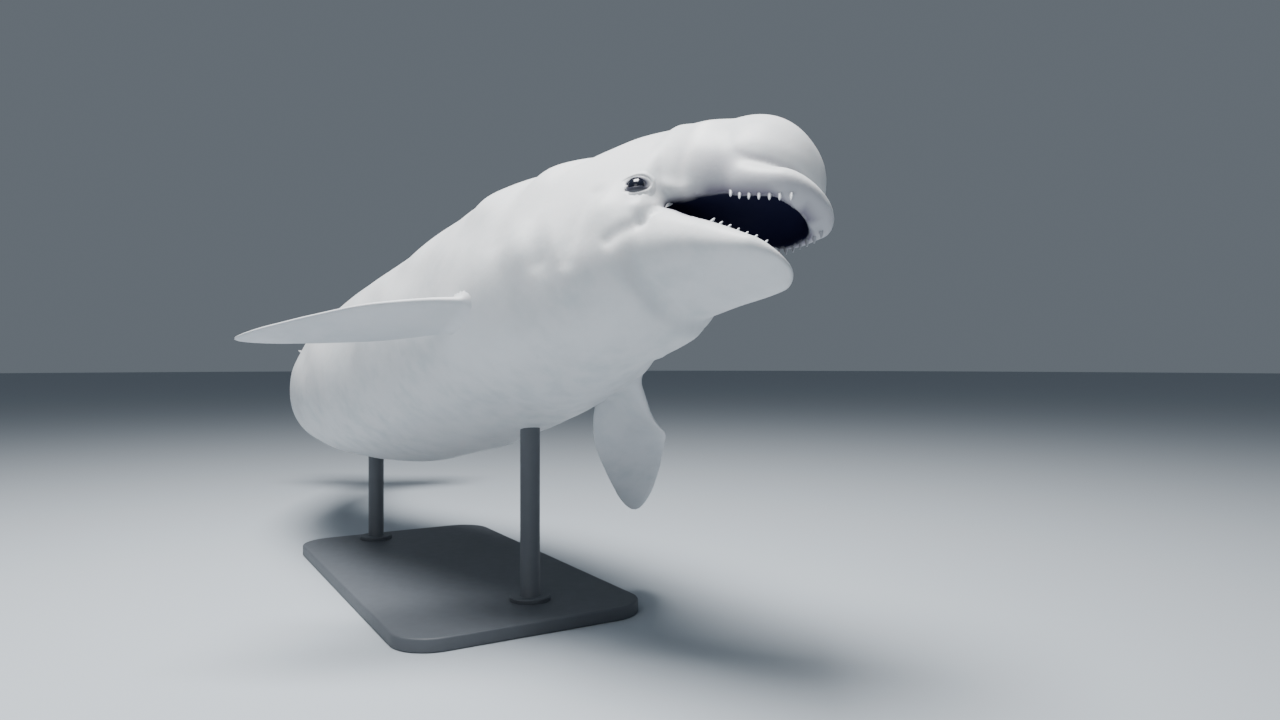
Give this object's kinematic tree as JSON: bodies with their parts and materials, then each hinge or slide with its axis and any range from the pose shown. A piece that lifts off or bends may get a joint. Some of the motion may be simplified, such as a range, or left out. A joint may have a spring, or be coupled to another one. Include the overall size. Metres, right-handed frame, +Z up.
{
  "type": "beluga whale",
  "caption": "Adult white whale swimming with its mouth open, head raised and tail bent up and aside, as a life-size model on a display stand.",
  "frame": {"origin": "centre of the underside of the stand's base", "axes": "+X from the tail towards the head along the floor, +Z up, so the whale's left is mostly towards +Y"},
  "size_m": [3.9936, 1.459, 1.3323],
  "materials": {
    "skin": "smooth, wet, white skin",
    "tongue_skin": "moist, dull purple-grey",
    "eye_gloss": "dark, wet",
    "stand_paint": "satin dark grey paint"
  },
  "bodies": {
    "root": {"head": "skin", "melon": "skin", "lower_jaw": "skin", "tongue": "tongue_skin", "neck": "skin", "chest": "skin", "torso": "skin", "dorsal_ridge": "skin", "tail_stock": "skin", "flipper_left": "skin", "flipper_right": "skin", "fluke_left": "skin", "fluke_right": "skin", "eye_left": "eye_gloss", "eye_right": "eye_gloss", "stand_base": "stand_paint", "stand_rod_front": "stand_paint", "stand_rod_back": "stand_paint"}
  },
  "joints": []
}
